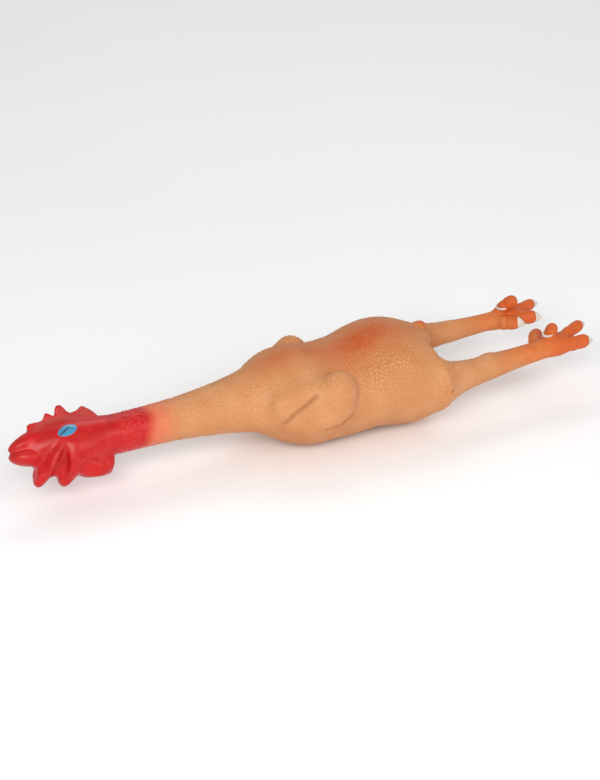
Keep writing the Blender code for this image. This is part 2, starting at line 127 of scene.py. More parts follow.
# Leg stations: x, radius, distance from the middle plane. Tables by side have -1 for the left.
LEG = (
    (0.0880, 0.0172, 0.0362),
    (0.0983, 0.0136, 0.0360),
    (0.1150, 0.0106, 0.0350),
    (0.1300, 0.0096, 0.0335),
    (0.1380, 0.0093, 0.0330),
    (0.1500, 0.0083, 0.0325),
    (0.1700, 0.0075, 0.0320),
    (0.1900, 0.0075, 0.0320),
)
LEG_Z, CURL_START, CURL_END = 0.0382, 0.105, 0.220
CURL_LIFT, LEG_DROP = {-1: 0.0074, 1: 0.0028}, {-1: 0.0, 1: 0.0009}
LEG_ROOT, SHIN_END = 0.088, 0.194
# Toes, in the leg's own frame: x, distance outwards and height over the leg's axis; root, bend, tip; radius.
TOES = {
    -1: {
        "inner": ((0.1795, -0.0020, -0.0010), (0.1825, -0.0140, 0.0022), (0.1880, -0.0188, 0.0012), 0.0050),
        "middle": ((0.1960, -0.0030, 0.0000), (0.2110, -0.0085, 0.0010), (0.2200, -0.0112, 0.0010), 0.0046),
        "outer": ((0.1950, 0.0030, -0.0010), (0.2080, 0.0040, -0.0022), (0.2148, 0.0042, -0.0028), 0.0052),
        "back": ((0.1855, 0.0008, 0.0020), (0.1880, -0.0020, 0.0086), (0.1920, -0.0045, 0.0112), 0.0046),
    },
    1: {
        "inner": ((0.1770, -0.0020, -0.0005), (0.1830, -0.0110, 0.0015), (0.1880, -0.0148, 0.0020), 0.0054),
        "middle": ((0.1930, -0.0040, 0.0000), (0.2015, -0.0080, -0.0002), (0.2070, -0.0098, -0.0004), 0.0052),
        "outer": ((0.1930, 0.0020, 0.0000), (0.2060, 0.0030, 0.0018), (0.2150, 0.0042, 0.0020), 0.0043),
        "back": ((0.1840, 0.0008, 0.0030), (0.1870, -0.0020, 0.0115), (0.1918, -0.0045, 0.0143), 0.0050),
    },
}
TOE_NAMES, TOE_STEPS = tuple(TOES[1]), 6
KNEES = {-1: (0.1330, 0.0, 0.0016), 1: (0.1230, 0.0, -0.0006)}
KNEE_RADII = (0.0080, 0.0078, 0.0086)
LEG_GIRTH = {-1: 1.0, 1: 0.92}
CLAW_LENGTH, CLAW_DROOP, BACK_CLAW_H = 0.0068, 0.0016, 0.0102
PALM_CENTRE, PALM_RADII = (0.1945, -0.0010, -0.0005), (0.0120, 0.0098, 0.0072)

# Head sections, upright: distance behind the beak tip, half width, then the lowest and the highest
# height over the neck's axis.
HEAD = (
    (0.0060, 0.0030, -0.0005, 0.0060),
    (0.0090, 0.0052, -0.0036, 0.0098),
    (0.0130, 0.0076, -0.0060, 0.0124),
    (0.0190, 0.0104, -0.0086, 0.0147),
    (0.0290, 0.0142, -0.0110, 0.0172),
    (0.0410, 0.0162, -0.0130, 0.0178),
    (0.0530, 0.0166, -0.0140, 0.0168),
    (0.0650, 0.0155, -0.0142, 0.0155),
    (0.0735, 0.0145, -0.0140, 0.0145),
    (0.0797, 0.0140, -0.0140, 0.0140),
    (0.1040, 0.0143, -0.0143, 0.0143),
    (0.1240, 0.0151, -0.0151, 0.0151),
)
SKULL_FRONT = 0.0065
# Rounded forms on the head: centre, radii and slant.
UPPER_BEAK = ((0.0126, 0.0, 0.0098), (0.0128, 0.0072, 0.0045), math.radians(-19))
LOWER_BEAK = ((0.0140, 0.0, -0.0014), (0.0146, 0.0104, 0.0064), math.radians(12))
CHEEK = ((0.0500, 0.0075, -0.0050), (0.0150, 0.0100, 0.0095))
EAR_LOBE = ((0.0575, 0.0058, -0.0172), (0.0124, 0.0050, 0.0082), math.radians(2))
# Outlines of the comb and the wattles in the head's middle plane: distance behind the beak tip, height.
COMB = (
    (0.0175, 0.0080), (0.0180, 0.0150), (0.0163, 0.0186), (0.0186, 0.0210), (0.0286, 0.0204),
    (0.0316, 0.0256), (0.0340, 0.0246), (0.0376, 0.0216), (0.0396, 0.0282), (0.0438, 0.0290),
    (0.0482, 0.0214), (0.0545, 0.0222), (0.0582, 0.0250), (0.0632, 0.0212), (0.0668, 0.0152),
    (0.0656, 0.0080),
)
FRILL = (
    (0.0180, -0.0040), (0.0172, -0.0100), (0.0140, -0.0190), (0.0146, -0.0224), (0.0162, -0.0218),
    (0.0242, -0.0182), (0.0316, -0.0178), (0.0318, -0.0234), (0.0326, -0.0260), (0.0346, -0.0250),
    (0.0404, -0.0220), (0.0474, -0.0212), (0.0540, -0.0240), (0.0606, -0.0264), (0.0680, -0.0258),
    (0.0702, -0.0228), (0.0700, -0.0150), (0.0675, -0.0040),
)
# Ridges on each cheek, and hollows between them and behind the jaw: distance behind the beak tip,
# distance from the middle plane, height; and radius.
FRONT_RIDGE = (
    ((0.0352, 0.0134, 0.0030), 0.0020),
    ((0.0290, 0.0134, -0.0022), 0.0036),
    ((0.0234, 0.0108, -0.0085), 0.0046),
    ((0.0190, 0.0056, -0.0150), 0.0044),
    ((0.0160, 0.0008, -0.0190), 0.0032),
)
REAR_RIDGE = (
    ((0.0425, 0.0122, -0.0010), 0.0044),
    ((0.0408, 0.0112, -0.0090), 0.0056),
    ((0.0384, 0.0074, -0.0160), 0.0056),
    ((0.0344, 0.0012, -0.0214), 0.0034),
)
RIDGE_VALLEY = (
    ((0.0352, 0.0170, -0.0010), 0.0008),
    ((0.0318, 0.0140, -0.0120), 0.0046),
    ((0.0290, 0.0090, -0.0200), 0.0050),
)
JAW_HOLLOW = (
    ((0.0295, 0.0185, 0.0045), 0.0020),
    ((0.0215, 0.0160, -0.0030), 0.0040),
    ((0.0165, 0.0120, -0.0110), 0.0036),
)
LOBE_FOLD = ((0.0496, -0.0120), (0.0570, -0.0150), (0.0640, -0.0180))
# From the notch at the beak's tip, back along its side.
MOUTH_LINE = (
    ((-0.0015, 0.0, 0.0042), 0.0012),
    ((0.0012, 0.0040, 0.0058), 0.0009),
    ((0.0050, 0.0070, 0.0080), 0.0004),
)
EYE_CENTRE, EYE_HALF_LENGTH, EYE_HALF_HEIGHT = (0.0402, 0.0104), 0.0080, 0.0038
EYE_SLANT = math.radians(11)

WING_BULB = ((0.0045, 0.0365, 0.0440), (0.0140, 0.0115, 0.0182), math.radians(14))
# The wing's fore edge, tapering into the shoulder, as points on the bulb's level with their radii;
# and how flat the edge is.
WING_TAPER = (((-0.0400, 0.0300, 0.0), 0.0010), ((0.0030, 0.0366, 0.0), 0.0124))
WING_FLAT = 0.66
WING_RISE = {-1: 0.0034, 1: -0.0010}
TAIL = ((0.0945, 0.0040, 0.0630), (0.0066, 0.0056, 0.0062))
SQUEAKER = middle("squeaker_cup")
FLANGE_R = (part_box("squeaker_cup")[1].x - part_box("squeaker_cup")[0].x) / 2
PORT_R, PORT_H = FLANGE_R + 0.0004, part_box("reed_clip")[1].z + 0.0015

HEAD_STEP, BODY_STEP, LEG_STEP = 0.00050, 0.00062, 0.00050
NODULE_SPACING, NODULE_R, NODULE_H = 0.0024, 0.00140, 0.00044
RING_SPACING, RING_H = 0.0021, 0.00009
# The mould's parting line along the flank: x and height; then its half width and how far it stands up.
SEAM = (
    (-0.010, 0.0560), (0.004, 0.0545), (0.022, 0.0490), (0.050, 0.0435), (0.083, 0.0410),
    (0.110, 0.0395), (0.2, 0.0382),
)
SEAM_WIDTH, SEAM_H = 0.00042, 0.00020
# Creases round each wing, seen from the side: (x, height) along the line, depth, half width.
WING_CREASES = (
    (((-0.037, 0.036), (-0.031, 0.043), (-0.023, 0.049), (-0.015, 0.055)), 0.0011, 0.0015),
    (((0.012, 0.036), (0.002, 0.030), (-0.008, 0.027)), 0.0006, 0.0013),
)
FLANK_FROM = 0.012
# Soft round patches, as centre and reach: the vent and the painted highlight on the wing's elbow in x and
# height, and the halo beside the back, where the nodules' paler tips and darker valleys (partly painted light
# and shade) stand out more, in x and distance from the middle plane.
VENT, VENT_DEPTH = ((0.0900, 0.0385), (0.0014, 0.0014)), 0.0005
ELBOW_HIGHLIGHT = ((0.015, 0.048), (0.006, 0.011))
HALO = ((0.045, 0.030), (0.034, 0.016))
# The airbrushing's patches in x and y, each with its strength.
AIRBRUSH = (
    (((0.042, -0.006), (0.023, 0.015)), 0.80),
    (((0.062, 0.001), (0.028, 0.024)), 0.40),
    (((0.020, -0.010), (0.018, 0.018)), 0.45),
    (((0.002, -0.004), (0.012, 0.012)), 0.25),
    (((-0.023, -0.002), (0.022, 0.011)), 0.62),
    (((-0.010, 0.020), (0.030, 0.018)), 0.30),
    (((0.097, 0.005), (0.006, 0.007)), 0.80),
)
# The feet's orange starts this much further out on the right leg.
FOOT_SHIFT = {-1: 0.0, 1: -0.008}


# ---------------------------------------------------------------- solids, as signed distances

def curve(stations, x):
    """The stations' values at x, on a smooth curve through them."""
    table = np.array(stations)
    xs = table[:, 0]
    x = np.clip(x, xs[0], xs[-1])
    i = np.clip(np.searchsorted(xs, x, "right") - 1, 0, len(xs) - 2)
    a, b = table[i], table[i + 1]
    before, after = table[np.maximum(i - 1, 0)], table[np.minimum(i + 2, len(xs) - 1)]
    span = (b - a)[..., :1]
    t = (x[..., None] - a[..., :1]) / span
    leave = (b - before) / (b - before)[..., :1] * span
    arrive = (after - a) / (after - a)[..., :1] * span
    value = a * (2 * t**3 - 3 * t**2 + 1) + b * (3 * t**2 - 2 * t**3) + leave * (t**3 - 2 * t**2 + t)
    value = value + arrive * (t**3 - t**2)
    return [value[..., k] for k in range(1, table.shape[1])]


def by_side(y, pair):
    """The left's or the right's value, by the side that each point is on."""
    return np.where(y < 0, pair[-1], pair[1])


def smooth(low, high, x):
    """A step that eases from 0 at low to 1 at high."""
    t = np.clip((x - low) / (high - low), 0, 1)
    return t * t * (3 - 2 * t)


def join(a, b, fillet):
    """Both solids, with a fillet where they meet."""
    h = np.clip(0.5 + 0.5 * (b - a) / fillet, 0, 1)
    return b + (a - b) * h - fillet * h * (1 - h)


def carve(a, b, fillet):
    """The first solid without the second."""
    return -join(-a, b, fillet)


def trim(a, b, fillet):
    """What the two solids share."""
    return -join(-a, -b, fillet)


def oval(y, z, half_y, half_z):
    """Distance to an ellipse, close to its edge."""
    near = np.sqrt((y / half_y) ** 2 + (z / half_z) ** 2)
    slope = np.sqrt((y / half_y**2) ** 2 + (z / half_z**2) ** 2)
    return near * (near - 1) / np.maximum(slope, 1e-6)


def ellipsoid(x, y, z, centre, radii, slant=0.0):
    c, s = math.cos(slant), math.sin(slant)
    u, v, w = x - centre[0], y - centre[1], z - centre[2]
    u, w = c * u - s * w, s * u + c * w
    near = np.sqrt((u / radii[0]) ** 2 + (v / radii[1]) ** 2 + (w / radii[2]) ** 2)
    slope = np.sqrt((u / radii[0] ** 2) ** 2 + (v / radii[1] ** 2) ** 2 + (w / radii[2] ** 2) ** 2)
    return near * (near - 1) / np.maximum(slope, 1e-6)


def rope(x, y, z, points):
    """Distance to a rounded rope through ((x, y, z), radius) points."""
    best = None
    for (a, start_r), (b, end_r) in zip(points, points[1:]):
        d = [q - p for p, q in zip(a, b)]
        t = ((x - a[0]) * d[0] + (y - a[1]) * d[1] + (z - a[2]) * d[2]) / sum(k * k for k in d)
        t = np.clip(t, 0, 1)
        gap = np.sqrt((x - a[0] - t * d[0]) ** 2 + (y - a[1] - t * d[1]) ** 2 + (z - a[2] - t * d[2]) ** 2)
        gap = gap - (start_r + (end_r - start_r) * t)
        best = gap if best is None else np.minimum(best, gap)
    return best


def line_gap(x, z, line):
    """Distance, seen from the side, to a line through (x, height) points."""
    return rope(x, 0.0, z, [((px, 0.0, pz), 0.0) for px, pz in line])


def rounded(outline):
    """The outline with its corners cut twice, so that its tips are round."""
    points = np.array(outline)
    for _ in range(2):
        after = np.roll(points, -1, 0)
        points = np.stack([points * 0.8 + after * 0.2, points * 0.2 + after * 0.8], 1).reshape(-1, 2)
    return points


def flat_shape(x, h, points):
    """Signed distance to a closed outline in the head's middle plane."""
    near = np.full(np.broadcast(x, h).shape, np.inf)
    inside = np.zeros(near.shape, bool)
    for (ax, ah), (bx, bh) in zip(points, np.roll(points, -1, 0)):
        ex, eh = bx - ax, bh - ah
        t = np.clip(((x - ax) * ex + (h - ah) * eh) / (ex * ex + eh * eh), 0, 1)
        near = np.minimum(near, (x - ax - t * ex) ** 2 + (h - ah - t * eh) ** 2)
        if ah != bh:
            inside ^= ((ah > h) != (bh > h)) & (x < ex * (h - ah) / eh + ax)
    return np.where(inside, -1, 1) * np.sqrt(near)


def bezier(root, bend, tip):
    points = []
    for k in range(TOE_STEPS + 1):
        t = k / TOE_STEPS
        points.append(tuple(
            a * (1 - t) ** 2 + b * 2 * t * (1 - t) + c * t * t for a, b, c in zip(root, bend, tip)
        ))
    return points


COMB_POINTS, FRILL_POINTS = rounded(COMB), rounded(FRILL)


def head_field(x, y, h):
    """The head, upright: x behind the beak tip, y from the middle plane, h over the neck's axis."""
    y = np.abs(y)
    half_y, low, high = curve(HEAD, x)
    skull = oval(y, h - (low + high) / 2, half_y, (high - low) / 2)
    skull = trim(skull, SKULL_FRONT - x, 0.003)
    solid = join(skull, ellipsoid(x, y, h, *UPPER_BEAK), 0.004)
    solid = join(solid, ellipsoid(x, y, h, *LOWER_BEAK), 0.0016)
    solid = join(solid, ellipsoid(x, y, h, *CHEEK), 0.006)
    comb_thick = 0.0052 - 0.0036 * smooth(0.0150, 0.0215, h - 0.10 * (x - 0.045))
    comb = trim(flat_shape(x, h, COMB_POINTS), y - comb_thick, 0.0022)
    solid = join(solid, comb, 0.0026)
    frill_thick = 0.0056 - 0.0020 * smooth(-0.0140, -0.0260, h)
    frill = trim(flat_shape(x, h, FRILL_POINTS), y - frill_thick, 0.0046)
    solid = join(solid, frill, 0.0055)
    solid = join(solid, rope(x, y, h, FRONT_RIDGE), 0.0030)
    solid = join(solid, rope(x, y, h, REAR_RIDGE), 0.0060)
    solid = carve(solid, rope(x, y, h, RIDGE_VALLEY), 0.0016)
    solid = carve(solid, rope(x, y, h, JAW_HOLLOW), 0.0040)
    solid = join(solid, ellipsoid(x, y, h, *EAR_LOBE), 0.0044)
    fold = line_gap(x, h, LOBE_FOLD)
    solid = solid + 0.0007 * np.exp(-((fold / 0.0010) ** 2)) * smooth(0.003, 0.007, y)
    return carve(solid, rope(x, y, h, MOUTH_LINE), 0.0012)


def curl_lift(x, y):
    """How far the leg's axis has risen at x."""
    curled = np.clip(x - CURL_START, 0, None) / (CURL_END - CURL_START)
    return by_side(y, CURL_LIFT) * curled**2 - by_side(y, LEG_DROP) * smooth(0.095, 0.110, x)


def leg_frame(x, y, z):
    """Distance outwards from the nearer leg's axis, height over it, and its radius."""
    radius, aside = curve(LEG, x)
    return np.abs(y) - aside, z - LEG_Z - curl_lift(x, y), radius * by_side(y, LEG_GIRTH)


def limb_field(x, y, z, feet=True):
    out, over, radius = leg_frame(x, y, z)
    leg = np.sqrt(out**2 + over**2) - radius
    knees = {side: ellipsoid(x, out, over, centre, KNEE_RADII) for side, centre in KNEES.items()}
    leg = join(leg, by_side(y, knees), 0.004)
    leg = trim(trim(leg, LEG_ROOT - x, 0.004), x - SHIN_END, 0.004)
    if not feet:
        return leg
    foot = join(leg, ellipsoid(x, out, over, PALM_CENTRE, PALM_RADII), 0.004)
    for name in TOE_NAMES:
        pair = {}
        for side, toes in TOES.items():
            *bent, radius = toes[name]
            points = bezier(*bent)
            waves = [math.sin(5 * math.pi * k / TOE_STEPS) for k in range(len(points))]
            knuckles = [radius * (1.0 + 0.05 * wave) for wave in waves]
            pair[side] = rope(x, out, over, list(zip(points, knuckles)))
        foot = join(foot, by_side(y, pair), 0.0022 if name == "back" else 0.0030)
    return foot


def hip_fillet(x, y):
    """Tight in the crotch, broad over the outside of the thigh."""
    return 0.004 + 0.007 * smooth(-0.006, 0.004, np.abs(y) - curve(LEG, x)[1])


def trunk_field(x, y, z):
    half_y, half_z, centre = curve(TRUNK, x)
    trunk = oval(y, z - centre, half_y, half_z)
    trunk = trim(trunk, x - RUMP_END, 0.005 + 0.014 * smooth(0.022, 0.036, np.abs(y)))
    # The rump narrows to a wedge between the legs.
    middle_x, aside, half_x, half_y = CROTCH
    trunk = carve(trunk, oval(x - middle_x, np.abs(y) - aside, half_x, half_y), 0.005)
    return join(trunk, ellipsoid(x, y, z, *TAIL), 0.002)


def body_field(x, y, z):
    solid = trunk_field(x, y, z)
    side = np.abs(y)
    height = z - by_side(y, WING_RISE)
    bulb = ellipsoid(x, side, height, *WING_BULB)
    taper = rope(x, side, (height - WING_BULB[0][2]) * WING_FLAT, WING_TAPER)
    wing = join(bulb, taper, 0.006)
    fillet = 0.0014 + 0.012 * smooth(0.008, -0.026, x) + 0.010 * smooth(0.046, 0.030, z)
    solid = join(solid, wing, fillet)
    solid = join(solid, limb_field(x, y, z, feet=False), hip_fillet(x, y))
    solid = trim(solid, 0.0003 - z, 0.004)
    port = np.maximum(np.sqrt((x - SQUEAKER.x) ** 2 + y**2) - PORT_R, z - PORT_H)
    return np.maximum(solid, -port)


def leg_field(x, y, z):
    return join(trunk_field(x, y, z), limb_field(x, y, z), hip_fillet(x, y))


# ---------------------------------------------------------------- from a solid to a mesh

def lattice_skin(field, low, high, step):
    """The field's surface as quads: one point in each lattice cell that it crosses."""
    axes = [np.arange(a, b + step, step) for a, b in zip(low, high)]
    value = field(axes[0][:, None, None], axes[1][None, :, None], axes[2][None, None, :])
    inside = value < 0
    n = [len(a) - 1 for a in axes]
    corners = [(i, j, k) for i in (0, 1) for j in (0, 1) for k in (0, 1)]
    count = np.zeros(n, np.int8)
    for i, j, k in corners:
        count += inside[i : i + n[0], j : j + n[1], k : k + n[2]]
    cells = np.argwhere((count > 0) & (count < 8))
    total, crossings = np.zeros((len(cells), 3)), np.zeros((len(cells), 1))
    for a in corners:
        for axis in range(3):
            if a[axis]:
                continue
            b = list(a)
            b[axis] = 1
            va, vb = value[tuple((cells + a).T)], value[tuple((cells + b).T)]
            cut = (va < 0) != (vb < 0)
            share = np.where(cut, va / np.where(cut, va - vb, 1), 0)
            place = np.array(a, float) + share[:, None] * np.eye(3)[axis]
            total += np.where(cut[:, None], place, 0)
            crossings += cut[:, None]
    points = np.array([a[0] for a in axes]) + (cells + total / crossings) * step
    number = np.full(n, -1, np.int32)
    number[tuple(cells.T)] = np.arange(len(cells))
    quads = []
    for axis in range(3):
        u, v = (axis + 1) % 3, (axis + 2) % 3
        first = [slice(1, -1)] * 3
        first[axis] = slice(None, -1)
        second = [slice(1, -1)] * 3
        second[axis] = slice(1, None)
        a, b = inside[tuple(first)], inside[tuple(second)]
        for flip in (False, True):
            where = np.argwhere((a & ~b) if not flip else (~a & b))
            where[:, u] += 1
            where[:, v] += 1
            ring = []
            for du, dv in ((1, 1), (0, 1), (0, 0), (1, 0)):
                cell = where.copy()
                cell[:, u] -= du
                cell[:, v] -= dv
                ring.append(number[tuple(cell.T)])
            quads.append(np.stack(ring[::-1] if flip else ring, 1))
    return points, np.concatenate(quads)


def slope_of(field, points, reach=0.0001):
    grads = []
    for axis in range(3):
        step = np.zeros(3)
        step[axis] = reach
        grads.append(field(*(points + step).T) - field(*(points - step).T))
    return np.stack(grads, 1) / (2 * reach)


def drawn_on(field, points, step):
    """The points moved onto the surface, and its normals there."""
    for _ in range(2):
        grad = slope_of(field, points)
        size = np.maximum((grad**2).sum(1), 0.2)
        move = -(field(*points.T) / size)[:, None] * grad
        reach = np.linalg.norm(move, axis=1, keepdims=True)
        points = points + move * np.minimum(1, 0.5 * step / np.maximum(reach, 1e-9))
    grad = slope_of(field, points)
    return points, grad / np.maximum(np.linalg.norm(grad, axis=1, keepdims=True), 1e-6)


def turned(vectors):
    """Directions on the upright head, as the head lies."""
    c, s = math.cos(HEAD_TILT), math.sin(HEAD_TILT)
    x, y, h = vectors.T
    return np.stack([x, c * y - s * h, s * y + c * h], 1)


def tilted(points):
    """Head points, behind the beak tip and over the neck's axis, in the row frame."""
    return turned(points) + (BEAK_X, 0, NECK_Z)


def scatter(points, spacing, seed):
    """Points picked so that no two are nearer than the spacing."""
    order = random.Random(seed).sample(range(len(points)), min(len(points), 90_000))
    cells = np.floor(points / spacing).astype(int)
    near = [(i, j, k) for i in (-1, 0, 1) for j in (-1, 0, 1) for k in (-1, 0, 1)]
    taken, picked = {}, []
    places, homes = points.tolist(), cells.tolist()
    limit = spacing**2
    for i in order:
        cx, cy, cz = homes[i]
        x, y, z = places[i]
        for dx, dy, dz in near:
            p = taken.get((cx + dx, cy + dy, cz + dz))
            if p and (p[0] - x) ** 2 + (p[1] - y) ** 2 + (p[2] - z) ** 2 < limit:
                break
        else:
            taken[(cx, cy, cz)] = (x, y, z)
            picked.append(places[i])
    return picked


def wobble(points, size, seed):
    """A slow random wave over the points, from -1 to 1."""
    rng = np.random.default_rng(seed)
    total = np.zeros(len(points))
    for _ in range(6):
        way = rng.normal(size=3)
        way *= 2 * math.pi / (size * np.linalg.norm(way)) * rng.uniform(0.7, 1.4)
        total += np.sin(points @ way + rng.uniform(0, 2 * math.pi))
    return total / 6


# ---------------------------------------------------------------- relief and paint

def spot(u, v, patch):
    """A soft round patch over the points, 1 at its centre."""
    centre, reach = patch
    return np.exp(-(((u - centre[0]) / reach[0]) ** 2 + ((v - centre[1]) / reach[1]) ** 2))


def relief(points, sites):
    """How far the mould's texture raises each point, and the masks that the paint follows, painted shade and
    painted highlights among them.
    """
    x, y, z = points.T
    out, over, _ = leg_frame(x, y, z)
    on_head = smooth(-0.1480, -0.1600, x)
    on_leg = smooth(0.1180, 0.1450, x)
    low_belly = smooth(0.0030, 0.0008, z)
    gap = np.array([sites.find(p)[2] for p in points.tolist()])
    nodule = 1 - smooth(0.15 * NODULE_R, NODULE_R, gap)
    strength = (1 - on_head) * (1 - on_leg) * (1 - 0.7 * low_belly)
    strength = strength * (0.80 + 0.25 * wobble(points, 0.02, 3))
    height = NODULE_H * strength * (nodule - 0.35)
    # The rings run across each toe, so they follow the way that it points.
    on_inner_toe = (out < -0.0095) & (x < 0.197)
    along = np.where(over > 0.0085, over + 0.5 * x, np.where(on_inner_toe, 0.5 * x - out, x))
    ring = np.sin(2 * math.pi * (along + 0.0009 * wobble(points, 0.010, 5)) / RING_SPACING)
    ring = ring * np.clip(0.45 + 0.9 * wobble(points, 0.007, 7), 0, 1) * on_leg
    wrinkled = (0.25 + 0.75 * smooth(0.002, 0.008, over)) * smooth(0.140, 0.175, x)
    wrinkled = wrinkled + 0.5 * smooth(0.186, 0.194, x)
    height += RING_H * ring * wrinkled
    flank = np.abs(y) > FLANK_FROM
    over_seam = z - curve(SEAM, x)[0] - curl_lift(x, y)
    seam = np.exp(-((over_seam / SEAM_WIDTH) ** 2)) * flank * smooth(-0.010, 0.006, x)
    seam = seam * smooth(0.17, 0.12, x) * np.clip(0.55 + 0.6 * wobble(points, 0.03, 23), 0, 1)
    height += SEAM_H * seam
    # The wing's creases and the vent are dented, and their mask is for painted shade in the dents.
    crease_shade = np.zeros(len(points))
    for line, depth, width in WING_CREASES:
        dent = np.exp(-((line_gap(x, z, line) / width) ** 2)) * flank
        dent = dent * (0.85 + 0.25 * wobble(points, 0.008, 19))
        height -= depth * dent
        crease_shade = np.maximum(crease_shade, dent)
    vent = spot(x, z, VENT) * (y < 0) * flank
    height -= VENT_DEPTH * vent
    crease_shade = np.maximum(crease_shade, vent)
    # The red was dipped aslant, further down the neck on top.
    dipped = x - 0.20 * (z - NECK_Z) + 0.003 * wobble(points, 0.025, 11)
    footward = x + 1.5 * over * on_leg + by_side(y, FOOT_SHIFT) + 0.006 * wobble(points, 0.02, 13)
    masks = {
        "nodule": nodule * strength,
        # The ring's low values, its grooves, get painted shade on the feet.
        "ring": 0.5 + 0.5 * ring * np.clip(wrinkled, 0, 1),
        # Painted shade in the wing's creases and the vent.
        "crease_shade": crease_shade,
        "seam": seam,
        "red": 0.50 * smooth(-0.1030, -0.1265, dipped) + 0.50 * smooth(-0.1250, -0.1365, dipped),
        "foot": smooth(0.1260, 0.1860, footward),
        "toes": smooth(0.1800, 0.1930, x + 0.5 * np.abs(over)),
        # Where the nodules' painted light on the tips and painted shade in the valleys are stronger.
        "halo": spot(x, np.abs(y), HALO) * smooth(0.040, 0.050, z),
        # Painted highlight on the wing's elbow.
        "elbow_highlight": spot(x, z, ELBOW_HIGHLIGHT) * flank,
        "spray": spray(points),
        # Painted sheen on the comb.
        "comb": on_head * comb_sheen_mask(points),
    }
    return height, masks


def spray(points):
    """The orange airbrushing along the back and over the shoulders."""
    x, y, z = points.T
    top = smooth(0.045, 0.062, z)
    total = np.zeros(len(points))
    for patch, strength in AIRBRUSH:
        total += strength * spot(x, y, patch)
    return np.clip(total * top, 0, 1)


def comb_sheen_mask(points):
    """The comb's painted sheen, paler than the red: how far a point stands over the head's crown."""
    y, z = points[:, 1], points[:, 2] - NECK_Z
    h = z * math.cos(HEAD_TILT) - y * math.sin(HEAD_TILT)
    behind = points[:, 0] - BEAK_X
    over_crown = h - np.interp(behind, (0.015, 0.035, 0.067), (0.0160, 0.0182, 0.0152))
    strip = smooth(-0.0012, 0.0004, over_crown) * smooth(0.0046, 0.0030, over_crown)
    last_spike = smooth(0.0, 0.0010, over_crown) * smooth(0.050, 0.055, behind)
    return np.maximum(strip, last_spike) * smooth(0.018, 0.026, behind)


def vertex_normals(points, quads):
    a, b = points[quads[:, 2]] - points[quads[:, 0]], points[quads[:, 3]] - points[quads[:, 1]]
    face = np.cross(a, b)
    total = np.zeros_like(points)
    for k in range(4):
        np.add.at(total, quads[:, k], face)
    return total / np.maximum(np.linalg.norm(total, axis=1, keepdims=True), 1e-12)


def make_skins():
    """The three stretches of skin, with relief, normals and masks: head, body and legs."""
    room, past = 0.004, 0.003
    y_room = CAD_HIGH.y + room
    coarser = 1.0
    head_low, head_high = (-0.004, -0.026, -0.032), (HEAD_SEAM - BEAK_X + past, 0.026, 0.034)
    body_low, body_high = (HEAD_SEAM - past, -y_room, -0.002), (LEG_SEAM + past, y_room, CAD_HIGH.z + room)
    legs_low, legs_high = (LEG_SEAM - past, -y_room, 0.010), (CAD_HIGH.x + room, y_room, 0.070)
    plans = (
        ("head", head_field, head_low, head_high, HEAD_STEP),
        ("body", body_field, body_low, body_high, BODY_STEP),
        ("legs", leg_field, legs_low, legs_high, LEG_STEP),
    )
    found = {}
    for name, field, low, high, step in plans:
        points, quads = lattice_skin(field, low, high, step * coarser)
        points, normals = drawn_on(field, points, step * coarser)
        if name == "head":
            points, normals = tilted(points), turned(normals)
        found[name] = (points, quads, normals)
    picked = scatter(np.concatenate([f[0] for f in found.values()]), NODULE_SPACING, 17)
    sites = kdtree.KDTree(len(picked))
    for i, p in enumerate(picked):
        sites.insert(p, i)
    sites.balance()
    skins = {}
    for name, (points, quads, normals) in found.items():
        height, masks = relief(points, sites)
        raised = points + normals * height[:, None]
        skins[name] = (raised, quads, vertex_normals(raised, quads), points, masks)
    return skins


def add_object(name, data):
    made = bpy.data.objects.new(name, data)
    bpy.context.scene.collection.objects.link(made)
    return made


def add_layers(mesh, masks, vectors):
    """Values at the mesh's points: masks and directions or places."""
    for name, values in masks.items():
        layer = mesh.attributes.new(name, "FLOAT", "POINT")
        layer.data.foreach_set("value", np.array(values, np.float32))
    for name, values in vectors.items():
        layer = mesh.attributes.new(name, "FLOAT_VECTOR", "POINT")
        layer.data.foreach_set("vector", np.array(values, np.float32).ravel())


def cut_piece(name, skin, keep, planes, material):
    """The faces of a skin whose middles keep() takes, cut at the planes (point, outward direction)."""
    points, quads, normals, rest, masks = skin
    chosen = quads[keep(points[quads].mean(1))]
    used, faces = np.unique(chosen, return_inverse=True)
    faces = faces.reshape(-1, 4)
    mesh = bpy.data.meshes.new(name)
    mesh.from_pydata(points[used].tolist(), [], faces.tolist())
    here = {mask: values[used] for mask, values in masks.items()}
    add_layers(mesh, here, {"rest": rest[used], "bare_normal": normals[used]})
    work = bmesh.new()
    work.from_mesh(mesh)
    for place, way in planes:
        everything = work.verts[:] + work.edges[:] + work.faces[:]
        bmesh.ops.bisect_plane(
            work, geom=everything, plane_co=place, plane_no=way, clear_outer=True, dist=1e-7
        )
    work.to_mesh(mesh)
    work.free()
    mesh.materials.append(material)
    mesh.shade_smooth()
    normal = np.zeros(len(mesh.vertices) * 3, np.float32)
    mesh.attributes["bare_normal"].data.foreach_get("vector", normal)
    mesh.normals_split_custom_set_from_vertices(normal.reshape(-1, 3))
    mesh.attributes.remove(mesh.attributes["bare_normal"])
    return add_object(name, mesh)


# ---------------------------------------------------------------- materials

